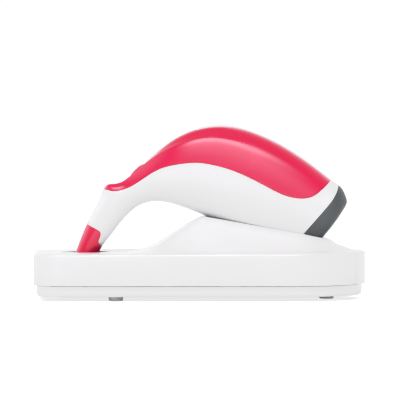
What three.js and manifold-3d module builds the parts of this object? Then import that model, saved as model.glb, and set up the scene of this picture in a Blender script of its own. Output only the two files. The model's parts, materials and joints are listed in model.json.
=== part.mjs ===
// Hand-held dental shade meter docked nose-down on its charging base.
// Millimetres, +Z up, +X towards the rear cap, origin on the floor under the middle of the base.
import * as THREE from 'three';
import { mergeVertices } from 'three/addons/utils/BufferGeometryUtils.js';
import Module from 'manifold-3d';

const wasm = await Module();
wasm.setup();

// ---- Driving dimensions ----

const GAP = 0.3; // clearance between neighbouring pieces

// Base
const BASE_LENGTH = 194.6;
const BASE_WIDTH = 97;
const BASE_TOP = 27.9; // over the middle of the base
const TOP_SLOPE = 0.0045; // the top rises slightly towards the rear
const SKIRT_BOTTOM = 9.2;
const BASE_WALL = 2.5;
const BASE_EDGE_ROUND = 1.5;
const LEFT_CORNER_RADIUS = 18;
const TRAY_INSET = 1.9;
const TRAY_BOTTOM = 2.6;
const TRAY_FLOOR = 2;
const TRAY_EDGE_ROUND = 2.4;
const TRAY_LIP_TOP = 14;
const FOOT_RADIUS = 4.25;
const FOOT_SPOTS = [[-49, -33], [-49, 33], [74.6, 0]];
const SCREW_SPOTS = [[-80, -32], [-80, 32], [62, -36], [62, 36]];
const BOSS_BOTTOM = 10;
const SCREW_BORE = 1.7;
const BOARD_POSTS = [[-26, -22], [36, -22], [-26, 38], [36, 38]];
const POST_RADIUS = 3;
const POST_TOP = 12;
const SOCKET_SPOT = [-20, 18.4]; // the power socket's place along the back and its height
const SOCKET_RADIUS = 3.6;
const WALL_FRONT = 36; // a distance behind the middle that lies inside the back wall

// Saddle: a hump on the base top, flat across the middle and flared to the edges
const SADDLE_FLAT = 16;
const SADDLE_EDGE_MARGIN = 2;
const SADDLE_PROFILE = [
  [-42, 0], [-31, 2], [-19, 8.6], [-3, 18.6], [2.5, 20.5], [8, 19.9],
  [36, 14.8], [71, 8.4], [80, 4], [91, 0],
];

// Tip and calibration well, on an axis that leans towards the rear
const TIP_LEAN = THREE.MathUtils.degToRad(25);
const TIP_END = [-69.5, 19.6];
const WELL_CENTRE_X = -67;
const WELL_RADIUS = 14.3;
const CARRIER_RADIUS = 7.5;
const CARRIER_BOTTOM = -5.5;
const CARRIER_TOP = -0.9;
const TILE_RADIUS = 6;
const SPRING_BOTTOM = -9.2;
const SPRING_TOP = -5.7;
const SLEEVE_BOTTOM = -10.6;
const SLEEVE_RADIUS = 9;

// Handpiece
const SHELL_WALL = 2;
const DOCK_CLEARANCE = 0.4;
const RIDGE_HEIGHT = 0.9; // how far the shoulder stands above the deck between the ridges
const DECK_FLARE = 1; // how far the deck spreads on its way to the ridge

// Cross-sections of the handpiece from the tip to the end of the rear cap.
// Each has its highest point [x, z], its lowest point [x, z] and its half-width.
const SECTIONS = [
  [[-73.9, 24.8], [-63, 20], 5.8],
  [[-70, 35.6], [-57.7, 30.2], 6.5],
  [[-64.7, 47.7], [-51.5, 38.4], 7.4],
  [[-59.6, 57.3], [-46.3, 45.2], 8.2],
  [[-56.9, 64.2], [-42.2, 49.7], 8.8],
  [[-54, 67.5], [-38.6, 52.9], 9.3],
  [[-48.5, 67.9], [-34.8, 55.3], 9.8],
  [[-43.3, 70.2], [-30.5, 56.7], 10.8],
  [[-37.5, 74.9], [-26, 57.4], 12.6],
  [[-29.5, 82.4], [-20, 56.8], 15.6],
  [[-19.5, 91.2], [-13, 55], 18.6],
  [[-8, 97.8], [-5.5, 52.3], 20.9],
  [[4, 101.3], [3, 48.9], 22.4],
  [[16, 101.8], [13, 44.4], 23],
  [[28, 99.3], [24, 39.9], 23],
  [[42, 93.7], [35, 35.6], 22.6],
  [[56, 85.8], [45, 32.5], 21.8],
  [[69, 76.6], [51, 31.2], 20.8],
  [[77.2, 70], [54, 30.9], 20.2],
  [[82, 66.7], [57, 30.7], 19.8],
  [[84.6, 63.6], [63.5, 30.4], 19.2],
  [[86, 60.4], [67.3, 31.4], 18.2],
  [[86.8, 57.6], [69.8, 33.4], 16.6],
  [[86.2, 55], [71.6, 35.3], 14.6],
];
const LAST = SECTIONS.length - 1;

// Joint lines in side view, as [x, z]
const COVER_SEAM = [
  [-60, 65.1], [-54, 64], [-50.4, 63.4], [-45, 64.3], [-38, 67.6], [-29.2, 73.5], [-20, 77.8],
  [-8, 80], [2.6, 80], [16.7, 76.7], [30.8, 70.8], [44.9, 63.4], [53, 60.3], [59.1, 59.4],
  [65, 60.1], [70.5, 63.4], [76.9, 69.6], [80.5, 74.5],
];
const CAP_SEAM = [
  [48, 23.2], [60.6, 38.1], [73.3, 52.8], [77.8, 58.3], [80.3, 62.5], [81.7, 67], [82.3, 72.5],
];
const COLLAR_SEAM = [
  [-69, 45.4], [-66, 43.8], [-59.8, 40.4], [-58.4, 39], [-58.2, 37.4], [-59.3, 34.4],
  [-59.2, 32.7], [-57.2, 31.1], [-53, 27.8],
];

// Measuring button on the slope of the neck
const BUTTON_CENTRE = [-36.9, 75.6];
const BUTTON_TILT = THREE.MathUtils.degToRad(-42);
const BUTTON_LENGTH = 11;
const BUTTON_WIDTH = 8.4;
const BUTTON_HEIGHT = 1.4;

// Display on the front slope of the deck
const DISPLAY_CENTRE = [-12.6, 95.1];
const DISPLAY_TILT = THREE.MathUtils.degToRad(-29.2);
const DISPLAY_LENGTH = 26;
const DISPLAY_WIDTH = 15;
const DISPLAY_CORNER = 2.5;
const DISPLAY_GLASS = 1.2;
const DISPLAY_DEPTH = 0.45; // how far the glass lies below the casing round it

// Rear half of the handpiece, where the battery and boards lie on a sloping axis
const REAR_CENTRE = [41.5, 61];
const REAR_SLOPE = THREE.MathUtils.degToRad(24.5);
const CELL_RADIUS = 9;
const CELL_LENGTH = 50;
const CELL_DROP = -6.5;

// ---- Materials ----

function plastic(color, roughness) {
  return new THREE.MeshStandardMaterial({ color, roughness, metalness: 0 });
}

function metal(color, roughness) {
  return new THREE.MeshStandardMaterial({ color, roughness, metalness: 1 });
}

const WHITE_GLOSS = plastic(0xf0f0ee, 0.25);
const RED_GLOSS = plastic(0xe23050, 0.2);
const GREY_SATIN = plastic(0x666f6e, 0.45);
const DARK_PLASTIC = plastic(0x2c2f31, 0.5);
const FRAME_PLASTIC = plastic(0x404448, 0.6);
const RUBBER = plastic(0xb9babc, 0.8);
const CERAMIC = plastic(0xf7f5ee, 0.15);
const BOARD_GREEN = plastic(0x1f5b3a, 0.5);
const GLASS_BLACK = plastic(0x0c0d10, 0.05);
const STEEL = metal(0xb9bcc0, 0.3);
const ALUMINIUM = metal(0xc4c7ca, 0.4);
const COPPER = metal(0xb8733a, 0.4);
const CELL_SLEEVE = plastic(0x35618f, 0.4);

// ---- Solids ----

function solid(geometry) {
  const bare = geometry.index ? geometry.toNonIndexed() : geometry.clone();
  bare.deleteAttribute('normal');
  bare.deleteAttribute('uv');
  const merged = mergeVertices(bare, 1e-4);
  return new wasm.Manifold(new wasm.Mesh({
    numProp: 3,
    vertProperties: new Float32Array(merged.attributes.position.array),
    triVerts: new Uint32Array(merged.index.array),
  }));
}

function geometryOf(body) {
  const mesh = body.getMesh();
  const geometry = new THREE.BufferGeometry();
  geometry.setAttribute('position', new THREE.BufferAttribute(new Float32Array(mesh.vertProperties), 3));
  geometry.setIndex(new THREE.BufferAttribute(new Uint32Array(mesh.triVerts), 1));
  geometry.computeVertexNormals();
  return geometry;
}

function piece(name, shape, material) {
  const geometry = shape instanceof THREE.BufferGeometry ? shape : geometryOf(shape);
  const mesh = new THREE.Mesh(geometry, material);
  mesh.name = name;
  return mesh;
}

// A skin over rings of points, closed at both ends by a fan about the ring's centre.
function loft(rings) {
  const count = rings[0].length;
  const points = rings.flat();
  const faces = [];
  for (let r = 0; r < rings.length - 1; r += 1) {
    for (let k = 0; k < count; k += 1) {
      const next = (k + 1) % count;
      const a = r * count + k;
      const b = r * count + next;
      faces.push(a, b, a + count, b, b + count, a + count);
    }
  }
  const centreOf = (ring) => ring.reduce((sum, p) => sum.add(p), new THREE.Vector3()).divideScalar(count);
  const first = points.push(centreOf(rings[0])) - 1;
  const last = points.push(centreOf(rings[rings.length - 1])) - 1;
  const lastRing = (rings.length - 1) * count;
  for (let k = 0; k < count; k += 1) {
    const next = (k + 1) % count;
    faces.push(first, next, k);
    faces.push(last, lastRing + k, lastRing + next);
  }
  const geometry = new THREE.BufferGeometry().setFromPoints(points);
  geometry.setIndex(faces);
  geometry.computeVertexNormals();
  return geometry;
}

function curveThrough(points, steps) {
  const curve = new THREE.CatmullRomCurve3(points.map(([x, z]) => new THREE.Vector3(x, 0, z)));
  return curve.getPoints(steps).map((p) => [p.x, p.z]);
}

// A slab whose outline is given in side view, running through the whole width of the object.
function sideSlab(outline, halfWidth = BASE_WIDTH) {
  const shape = new THREE.Shape(outline.map(([x, z]) => new THREE.Vector2(x, z)));
  return new THREE.ExtrudeGeometry(shape, { depth: 2 * halfWidth, bevelEnabled: false })
    .rotateX(Math.PI / 2)
    .translate(0, halfWidth, 0);
}

// A box given by its lowest and highest corners.
function block(low, high) {
  return new THREE.BoxGeometry(high[0] - low[0], high[1] - low[1], high[2] - low[2])
    .translate((low[0] + high[0]) / 2, (low[1] + high[1]) / 2, (low[2] + high[2]) / 2);
}

function turned(profile, sides = 24) {
  const points = profile.map(([r, z]) => new THREE.Vector2(r, z));
  return new THREE.LatheGeometry(points, sides).rotateX(Math.PI / 2);
}

// An upright round bar between two heights.
function bar(radius, low, high, sides = 24) {
  return turned([[0, low], [radius, low], [radius, high], [0, high]], sides);
}

function ringPlate(inner, outer, low, high, sides = 28) {
  return turned([[inner, low], [outer, low], [outer, high], [inner, high], [inner, low]], sides);
}

function screwShape(headRadius, headLow, headHigh, shankRadius, tip) {
  const head = [[0, headLow], [headRadius, headLow], [headRadius, headHigh], [shankRadius, headHigh]];
  return turned([...head, [shankRadius, tip], [0, tip]], 14);
}

// The group that holds what lies on the tip's axis: its origin is the tip's end, its +Z leaves the well.
function tipFrame() {
  const frame = new THREE.Group();
  frame.position.set(TIP_END[0], 0, TIP_END[1]);
  frame.rotation.y = TIP_LEAN;
  return frame;
}

function placed(geometry, [x, z], tilt) {
  return geometry.rotateY(tilt).translate(x, 0, z);
}

const inTipFrame = (geometry) => placed(geometry, TIP_END, TIP_LEAN);

// ---- Handpiece surface ----

const indexed = (pick) => new THREE.CatmullRomCurve3(SECTIONS.map(pick));
const TOP_LINE = indexed(([top]) => new THREE.Vector3(top[0], 0, top[1]));
const BOTTOM_LINE = indexed(([, bottom]) => new THREE.Vector3(bottom[0], 0, bottom[1]));
const WIDTH_LINE = indexed(([, , halfWidth], i) => new THREE.Vector3(i, halfWidth, 0));

const DECK_STEPS = 3;
const SIDE_STEPS = 7;
const RIDGE_SHARPNESS = THREE.MathUtils.degToRad(1.6);

// The ridge starts on the neck, is full height beside the display and fades out behind the crest.
function ridgeStrength(index) {
  const rise = THREE.MathUtils.smoothstep(index, 5, 10);
  const fade = 1 - THREE.MathUtils.smoothstep(index, 12, 14.4);
  return rise * fade;
}

// The ridges start close together on the neck and spread beside the display.
function ridgeAngle(index) {
  const { smoothstep } = THREE.MathUtils;
  const neck = 5 * smoothstep(index, 6, 9.5);
  const display = 15.5 * smoothstep(index, 8.3, 11);
  const crest = 5 * smoothstep(index, 11.5, 14);
  return THREE.MathUtils.degToRad(24 + neck + display + crest);
}

const FLAT_DECK = [18, 36].map(THREE.MathUtils.degToRad); // where the flattening starts to fade, and ends

// How much of the deck's crown is taken away beside the display.
function deckFlatness(index, angle) {
  const { smoothstep } = THREE.MathUtils;
  const here = smoothstep(index, 8.6, 9.8) * (1 - smoothstep(index, 12.2, 14));
  return 0.5 * here * (1 - smoothstep(angle, FLAT_DECK[0], FLAT_DECK[1]));
}

// Half of a section's outline, as angles from its top to its bottom.
function sectionAngles(index) {
  const ridge = ridgeAngle(index);
  const angles = [];
  for (let k = 0; k < DECK_STEPS; k += 1) angles.push((k / DECK_STEPS) * (ridge - RIDGE_SHARPNESS));
  angles.push(ridge - RIDGE_SHARPNESS);
  const start = ridge + RIDGE_SHARPNESS;
  for (let k = 0; k <= SIDE_STEPS; k += 1) angles.push(start + (k / SIDE_STEPS) * (Math.PI - start));
  return angles;
}

// How far the section stands out at an angle: it spreads to the ridge, steps up and falls away.
function shoulder(index, angle) {
  const ridge = ridgeAngle(index);
  const fall = 1 - THREE.MathUtils.smoothstep(angle, ridge, Math.PI / 2);
  const spread = DECK_FLARE * THREE.MathUtils.smoothstep(angle, 0.45 * ridge, ridge);
  const step = angle > ridge ? RIDGE_HEIGHT : 0;
  return ridgeStrength(index) * (spread + step) * fall;
}

// One section as a ring of points, drawn in by inset.
function sectionRing(index, inset, ridged) {
  const u = index / LAST;
  const top = TOP_LINE.getPoint(u);
  const bottom = BOTTOM_LINE.getPoint(u);
  const up = top.clone().sub(bottom).normalize();
  const centre = top.clone().add(bottom).multiplyScalar(0.5);
  const halfHeight = top.distanceTo(bottom) / 2 - inset;
  const halfWidth = WIDTH_LINE.getPoint(u).y - inset;
  const power = 2 / (2 + 0.3 * THREE.MathUtils.smoothstep(index, 6, 11));
  const at = (angle, side) => {
    const lift = ridged ? shoulder(index, angle) : 0;
    const across = (halfWidth + lift) * Math.abs(Math.sin(angle)) ** power;
    const height = halfHeight + lift;
    const curved = height * Math.abs(Math.cos(angle)) ** power * Math.sign(Math.cos(angle));
    const along = curved + (height - curved) * deckFlatness(index, angle);
    return centre.clone().addScaledVector(up, along).setY(side * across);
  };
  const angles = sectionAngles(index);
  const far = angles.slice(1, -1).reverse().map((angle) => at(angle, 1));
  return [...angles.map((angle) => at(angle, -1)), ...far];
}

function handpieceSolid(inset, from, to, step, ridged = false) {
  const rings = [];
  const count = Math.round((to - from) / step);
  for (let k = 0; k <= count; k += 1) rings.push(sectionRing(from + k * step, inset, ridged));
  return solid(loft(rings));
}

// ---- Handpiece casing ----

const OUTER = handpieceSolid(0, 0, LAST, 0.5, true);
const INNER = handpieceSolid(SHELL_WALL, 0.5, LAST - 2, 1.367);
const TIP_BORE = solid(inTipFrame(bar(4.2, 0, 12)));
const SHELL = OUTER.subtract(INNER).subtract(TIP_BORE);

function coverRegion(shift) {
  const seam = curveThrough(COVER_SEAM, 44).map(([x, z]) => [x, z + shift]);
  return solid(sideSlab([...seam, [90, 120], [-70, 120]]));
}

function capRegion(shift) {
  const seam = curveThrough(CAP_SEAM, 10).map(([x, z]) => [x + shift, z]);
  return solid(sideSlab([...seam.reverse(), [48 + shift, 10], [110, 10], [110, 72]]));
}

function collarRegion(shift) {
  const seam = curveThrough(COLLAR_SEAM, 20).map(([x, z]) => [x + shift, z + shift]);
  return solid(sideSlab([[-90, 45.2 + shift], [-90, 10], [-53, 10], ...seam.reverse()]));
}

function pillOutline(length, width, corner) {
  const shape = new THREE.Shape();
  const x = length / 2;
  const y = width / 2;
  shape.moveTo(-x + corner, -y);
  shape.lineTo(x - corner, -y);
  shape.absarc(x - corner, -y + corner, corner, -Math.PI / 2, 0);
  shape.lineTo(x, y - corner);
  shape.absarc(x - corner, y - corner, corner, 0, Math.PI / 2);
  shape.lineTo(-x + corner, y);
  shape.absarc(-x + corner, y - corner, corner, Math.PI / 2, Math.PI);
  shape.lineTo(-x, -y + corner);
  shape.absarc(-x + corner, -y + corner, corner, Math.PI, 1.5 * Math.PI);
  return shape;
}

function roundedPlate(length, width, corner, low, high) {
  const options = { depth: high - low, bevelEnabled: false, curveSegments: 5 };
  return new THREE.ExtrudeGeometry(pillOutline(length, width, corner), options).translate(0, 0, low);
}

function ellipseRing(halfLength, halfWidth, z, count = 28) {
  const ring = [];
  for (let k = 0; k < count; k += 1) {
    const angle = (2 * Math.PI * k) / count;
    ring.push(new THREE.Vector3(halfLength * Math.cos(angle), halfWidth * Math.sin(angle), z));
  }
  return ring;
}

const BUTTON_A = BUTTON_LENGTH / 2;
const BUTTON_B = BUTTON_WIDTH / 2;

function buttonShape() {
  const flange = 0.9;
  const rings = [
    ellipseRing(BUTTON_A + flange, BUTTON_B + flange, -4.2),
    ellipseRing(BUTTON_A + flange, BUTTON_B + flange, -3.4),
    ellipseRing(BUTTON_A, BUTTON_B, -3.3),
    ellipseRing(BUTTON_A, BUTTON_B, 0.2),
    ellipseRing(BUTTON_A * 0.93, BUTTON_B * 0.93, 0.9),
    ellipseRing(BUTTON_A * 0.72, BUTTON_B * 0.72, BUTTON_HEIGHT - 0.1),
    ellipseRing(BUTTON_A * 0.4, BUTTON_B * 0.4, BUTTON_HEIGHT),
  ];
  return loft(rings);
}

function buttonHole() {
  const through = loft([
    ellipseRing(BUTTON_A + GAP, BUTTON_B + GAP, -8),
    ellipseRing(BUTTON_A + GAP, BUTTON_B + GAP, 5),
  ]);
  return solid(placed(through, BUTTON_CENTRE, BUTTON_TILT));
}

function displayPrism(margin, low, high) {
  const plate = roundedPlate(
    DISPLAY_LENGTH + 2 * margin,
    DISPLAY_WIDTH + 2 * margin,
    DISPLAY_CORNER + margin,
    low,
    high,
  );
  return solid(placed(plate, DISPLAY_CENTRE, DISPLAY_TILT));
}

function displayGlass() {
  const above = handpieceSolid(DISPLAY_DEPTH, 8, 14, 0.5);
  const skin = above.subtract(handpieceSolid(DISPLAY_DEPTH + DISPLAY_GLASS, 8, 14, 0.5));
  return skin.intersect(displayPrism(0, -6, 6));
}

function casing() {
  const group = new THREE.Group();
  const half = GAP / 2;
  const behindCap = SHELL.subtract(capRegion(-half));
  const openings = buttonHole().add(displayPrism(GAP, -8, 8));
  const cover = behindCap.intersect(coverRegion(half)).subtract(openings);
  const body = behindCap.subtract(coverRegion(-half)).subtract(collarRegion(half));
  group.add(piece('body_shell', body, WHITE_GLOSS));
  group.add(piece('top_cover', cover, RED_GLOSS));
  group.add(piece('tip_collar', SHELL.intersect(collarRegion(-half)), RED_GLOSS));
  group.add(piece('rear_cap', SHELL.intersect(capRegion(half)), GREY_SATIN));
  group.add(piece('display_window', displayGlass(), GLASS_BLACK));
  return group;
}

// ---- Button, display and optics ----

function buttonGroup() {
  const group = new THREE.Group();
  group.position.set(BUTTON_CENTRE[0], 0, BUTTON_CENTRE[1]);
  group.rotation.y = BUTTON_TILT;
  group.add(piece('measure_button', buttonShape(), RED_GLOSS));
  const plunger = solid(bar(1.6, -6, -5.2, 12));
  group.add(piece('button_switch', solid(block([-3, -3, -6.7], [3, 3, -5.8])).add(plunger), DARK_PLASTIC));
  group.add(piece('button_board', block([-6, -5, -7.8], [6, 5, -6.8]), BOARD_GREEN));
  return group;
}

function displayGroup() {
  const group = new THREE.Group();
  group.position.set(DISPLAY_CENTRE[0], 0, DISPLAY_CENTRE[1]);
  group.rotation.y = DISPLAY_TILT;
  group.add(piece('display_module', roundedPlate(24, 14, 1, -7, -4.6), DARK_PLASTIC));
  return group;
}

function probe() {
  const group = tipFrame();
  group.add(piece('probe_tube', ringPlate(2.5, 3.6, 0, 17), STEEL));
  group.add(piece('probe_window', bar(2.2, 0.2, 1.2), GLASS_BLACK));
  return group;
}

const FIBRE_LEVEL = 0.45; // height of the fibre between a section's lowest and highest points

// The fibre bundle runs up inside the probe tube and along the middle of the neck.
function fibreBundle() {
  const along = (w) => [TIP_END[0] + w * Math.sin(TIP_LEAN), TIP_END[1] + w * Math.cos(TIP_LEAN)];
  const middles = [3, 4, 5, 6, 7, 8, 9, 10].map((i) => {
    const [top, bottom] = SECTIONS[i];
    return [0, 1].map((axis) => bottom[axis] + FIBRE_LEVEL * (top[axis] - bottom[axis]));
  });
  const path = new THREE.CatmullRomCurve3(
    [along(1.6), along(10), along(19), ...middles].map(([x, z]) => new THREE.Vector3(x, 0, z)),
  );
  const rim = new THREE.Shape().absarc(0, 0, 1.9, 0, 2 * Math.PI);
  const options = { extrudePath: path, steps: 30, curveSegments: 5, bevelEnabled: false };
  return new THREE.ExtrudeGeometry(rim, options);
}

function optics() {
  const group = new THREE.Group();
  group.add(piece('fibre_bundle', fibreBundle(), DARK_PLASTIC));
  const modules = new THREE.Group();
  modules.position.set(-2, 0, 75);
  modules.add(piece('fibre_splitter', block([-13.5, -7, -3.5], [-6, 7, 3.5]), FRAME_PLASTIC));
  modules.add(piece('lamp_block', block([-5.5, -14, -5], [7, -1, 5]), ALUMINIUM));
  modules.add(piece('heat_sink', heatSink(), ALUMINIUM));
  modules.add(piece('sensor_block', block([-5.5, 1, -6], [12, 15, 6]), DARK_PLASTIC));
  group.add(modules);
  return group;
}

// A plate behind the lamp with fins towards the rear.
function heatSink() {
  let body = solid(block([7.4, -14, -6], [8.9, -1, 6]));
  for (let fin = 0; fin < 5; fin += 1) {
    const z = -5.5 + fin * 2.4;
    body = body.add(solid(block([8.5, -14, z], [12.5, -1, z + 1.1])));
  }
  return body;
}

// ---- Battery, boards and coil ----

const BOARD_LOW = 5.2;
const BOARD_HIGH = 6.8;
const BOARD_SCREWS = [[-17, -13], [-17, 13], [15, -13], [15, 13]];

function boardHoles(low, high) {
  return atSpots(BOARD_SCREWS, bar(1.3, low, high, 14));
}

// A plate with two ribs that reach down beside the cell.
function innerFrame() {
  const plate = solid(block([-24, -16, 3.2], [20, 16, 4.8]));
  const rib = (y) => solid(block([-24, y - 1, -8], [20, y + 1, 4]));
  return plate.add(rib(-12.6)).add(rib(12.6)).subtract(boardHoles(-3, 6));
}

function cradle() {
  const shape = new THREE.Shape();
  shape.absarc(0, 0, CELL_RADIUS + 1.9, Math.PI, 2 * Math.PI);
  shape.lineTo(CELL_RADIUS + GAP, 0);
  shape.absarc(0, 0, CELL_RADIUS + GAP, 2 * Math.PI, Math.PI, true);
  const length = 40;
  return new THREE.ExtrudeGeometry(shape, { depth: length, bevelEnabled: false, curveSegments: 14 })
    .rotateX(Math.PI / 2)
    .rotateZ(Math.PI / 2)
    .translate(-22, 0, CELL_DROP);
}

function powerPack() {
  const group = new THREE.Group();
  group.position.set(REAR_CENTRE[0], 0, REAR_CENTRE[1]);
  group.rotation.y = REAR_SLOPE;
  const half = CELL_LENGTH / 2;
  const can = [[0, -half], [CELL_RADIUS, -half], [CELL_RADIUS, half - 1]];
  const cell = turned([...can, [3, half - 1], [3, half], [0, half]]);
  const contact = (x) => block([x - 0.4, -4, CELL_DROP - 5], [x + 0.4, 4, 2.6]);
  group.add(piece('battery_cell', cell.rotateY(Math.PI / 2).translate(0, 0, CELL_DROP), CELL_SLEEVE));
  group.add(piece('battery_cradle', cradle(), FRAME_PLASTIC));
  group.add(piece('battery_contact_front', contact(-half - 0.8), STEEL));
  group.add(piece('battery_contact_rear', contact(half + 0.8), STEEL));
  group.add(piece('inner_frame', innerFrame(), FRAME_PLASTIC));
  const board = solid(block([-22, -16, BOARD_LOW], [20, 16, BOARD_HIGH])).subtract(boardHoles(4, 8));
  group.add(piece('main_board', board, BOARD_GREEN));
  BOARD_SCREWS.forEach(([x, y], i) => {
    const screw = screwShape(1.9, 0, 1.4, 1, 7.8).rotateX(Math.PI);
    group.add(piece(`board_screw_${i + 1}`, screw.translate(x, y, BOARD_HIGH + 1.5), STEEL));
  });
  return group;
}

const COIL_SLOPE = THREE.MathUtils.degToRad(18);

function coil(name, x, z, inner, outer, thickness) {
  const group = new THREE.Group();
  group.position.set(x, 0, z);
  group.rotation.y = COIL_SLOPE;
  group.add(piece(name, ringPlate(inner, outer, -thickness / 2, thickness / 2), COPPER));
  return group;
}

// ---- Base ----

// The outline of the base from above, moved inwards by inset: a half circle at the rear end,
// round corners at the tip end.
function planRing(inset, z, slope = 0) {
  const left = -BASE_LENGTH / 2 + inset;
  const halfWidth = BASE_WIDTH / 2 - inset;
  const corner = Math.max(LEFT_CORNER_RADIUS - inset, 1);
  const arcs = [
    [BASE_LENGTH / 2 - BASE_WIDTH / 2, 0, halfWidth, -90, 90, 24],
    [left + corner, halfWidth - corner, corner, 90, 180, 6],
    [left + corner, -halfWidth + corner, corner, 180, 270, 6],
  ];
  return arcs.flatMap(([x, y, radius, from, to, steps]) => {
    const points = [];
    for (let k = 0; k <= steps; k += 1) {
      const angle = THREE.MathUtils.degToRad(from + ((to - from) * k) / steps);
      const px = x + radius * Math.cos(angle);
      points.push(new THREE.Vector3(px, y + radius * Math.sin(angle), z + slope * px));
    }
    return points;
  });
}

function planSolid(layers) {
  return solid(loft(layers.map(([inset, z, slope]) => planRing(inset, z, slope))));
}

function halfWidthAt(x) {
  const rearCentre = BASE_LENGTH / 2 - BASE_WIDTH / 2;
  const reach = Math.max(x - rearCentre, 0);
  return Math.sqrt(Math.max((BASE_WIDTH / 2) ** 2 - reach ** 2, 0));
}

const inSide = ([x, z]) => new THREE.Vector3(x, 0, z);
const SADDLE_CURVE = new THREE.CatmullRomCurve3(SADDLE_PROFILE.map(inSide));
const SADDLE_RINGS = 26;
const SADDLE_ACROSS = 14;

// The saddle's flank leaves the flat middle gently and meets the base top at a slight slope.
function flank(distance, reach) {
  const t = THREE.MathUtils.clamp((distance - SADDLE_FLAT) / (reach - SADDLE_FLAT), 0, 1);
  return (0.5 + 0.5 * Math.cos(Math.PI * t)) ** 1.1;
}

// The hump over the middle of the base. A drop makes the smaller shape inside its wall.
function saddleSolid(drop) {
  const rings = [];
  for (let k = 0; k <= SADDLE_RINGS; k += 1) {
    const spot = SADDLE_CURVE.getPointAt(k / SADDLE_RINGS);
    const reach = halfWidthAt(spot.x) - SADDLE_EDGE_MARGIN;
    const plain = BASE_TOP + TOP_SLOPE * spot.x;
    const ring = [];
    for (let n = 0; n <= SADDLE_ACROSS; n += 1) {
      const y = reach * (1 - (2 * n) / SADDLE_ACROSS);
      const height = Math.max(spot.z, 0) * flank(Math.abs(y), reach);
      ring.push(new THREE.Vector3(spot.x, y * (1 - drop / reach), plain - 0.2 + height - drop));
    }
    const floor = BASE_TOP - 6 - drop;
    ring.push(new THREE.Vector3(spot.x, -reach + drop, floor));
    ring.push(new THREE.Vector3(spot.x, reach - drop, floor));
    rings.push(ring);
  }
  return solid(loft(rings));
}

// Funnel for the tip, narrowing to a lip that holds the tile carrier down.
function wellFunnel() {
  return solid(inTipFrame(turned([[0, -0.6], [7, -0.6], [9.6, 8], [11, 16], [0, 16]], 28)));
}

function wellInsert() {
  const plateTop = BASE_TOP + TOP_SLOPE * WELL_CENTRE_X - 0.15;
  const plug = solid(bar(WELL_RADIUS, 19, plateTop, 38).translate(WELL_CENTRE_X, 0, 0));
  const sleeve = solid(inTipFrame(bar(SLEEVE_RADIUS, SLEEVE_BOTTOM, 4, 28)));
  const bore = solid(inTipFrame(bar(CARRIER_RADIUS + GAP, SLEEVE_BOTTOM + 1.2, -0.6, 28)));
  return plug.add(sleeve).subtract(bore).subtract(wellFunnel());
}

// The hole for the insert, with room for its sleeve.
function wellHole() {
  const shaft = solid(bar(WELL_RADIUS + GAP, 18, BASE_TOP + 5, 36).translate(WELL_CENTRE_X, 0, 0));
  return shaft.add(solid(inTipFrame(bar(SLEEVE_RADIUS + GAP, SLEEVE_BOTTOM - 1, 6, 28))));
}

// The same shape at each spot, joined.
function atSpots(spots, geometry) {
  return wasm.Manifold.union(spots.map(([x, y]) => solid(geometry.clone().translate(x, y, 0))));
}

// A round bore from a distance behind the middle out through the back wall.
function socketBore(radius, from) {
  const [x, z] = SOCKET_SPOT;
  return solid(bar(radius, 0, BASE_WIDTH / 2, 18).rotateX(-Math.PI / 2).translate(x, from, z));
}

function baseHousing() {
  const edge = BASE_EDGE_ROUND;
  const outer = planSolid([
    [0, SKIRT_BOTTOM],
    [0, BASE_TOP - edge, TOP_SLOPE],
    [edge * 0.13, BASE_TOP - edge * 0.5, TOP_SLOPE],
    [edge * 0.5, BASE_TOP - edge * 0.13, TOP_SLOPE],
    [edge, BASE_TOP, TOP_SLOPE],
  ]).add(saddleSolid(0));
  const room = planSolid([[BASE_WALL, SKIRT_BOTTOM - 1], [BASE_WALL, BASE_TOP - BASE_WALL]]);
  const docked = handpieceSolid(-DOCK_CLEARANCE - BASE_WALL, 11, LAST, 1.5);
  const cavity = room.add(saddleSolid(BASE_WALL)).subtract(docked);
  return outer
    .subtract(cavity)
    .add(atSpots(SCREW_SPOTS, bar(3.6, BOSS_BOTTOM, BASE_TOP - 1, 18)))
    .subtract(atSpots(SCREW_SPOTS, bar(SCREW_BORE, BOSS_BOTTOM - 1, 19, 12)))
    .subtract(handpieceSolid(-DOCK_CLEARANCE, 11, LAST, 1))
    .subtract(socketBore(SOCKET_RADIUS, WALL_FRONT))
    .subtract(wellHole());
}

function baseTray() {
  const round = TRAY_EDGE_ROUND;
  const rimTop = SKIRT_BOTTOM - GAP;
  const lip = BASE_WALL + 0.4;
  const outer = planSolid([
    [TRAY_INSET + round, TRAY_BOTTOM],
    [TRAY_INSET + round * 0.5, TRAY_BOTTOM + round * 0.13],
    [TRAY_INSET + round * 0.13, TRAY_BOTTOM + round * 0.5],
    [TRAY_INSET, TRAY_BOTTOM + round],
    [TRAY_INSET, rimTop],
  ]).add(planSolid([[lip, rimTop - 1], [lip, TRAY_LIP_TOP]]));
  const room = planSolid([[lip + 2, TRAY_BOTTOM + TRAY_FLOOR], [lip + 2, TRAY_LIP_TOP + 1]]);
  const ground = TRAY_BOTTOM + 1;
  return outer
    .subtract(room)
    .add(atSpots(SCREW_SPOTS, bar(5, ground, BOSS_BOTTOM - GAP, 18)))
    .add(atSpots(BOARD_POSTS, bar(POST_RADIUS, ground, POST_TOP, 14)))
    .subtract(atSpots(SCREW_SPOTS, bar(3.2, 0, 5.2, 18)))
    .subtract(atSpots(SCREW_SPOTS, bar(SCREW_BORE, 0, 12, 12)));
}

function ballast() {
  const holes = atSpots(BOARD_POSTS, bar(POST_RADIUS + 0.6, 0, POST_TOP, 14));
  return solid(block([-34, -32, 5.1], [48, 34, 8.1])).subtract(holes);
}

function powerSocket() {
  const [x, z] = SOCKET_SPOT;
  const body = solid(block([x - 5, 33, z - 4.3], [x + 5, 45.6, z + 4.3]));
  return body.subtract(socketBore(3.2, WALL_FRONT + 1));
}

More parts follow.
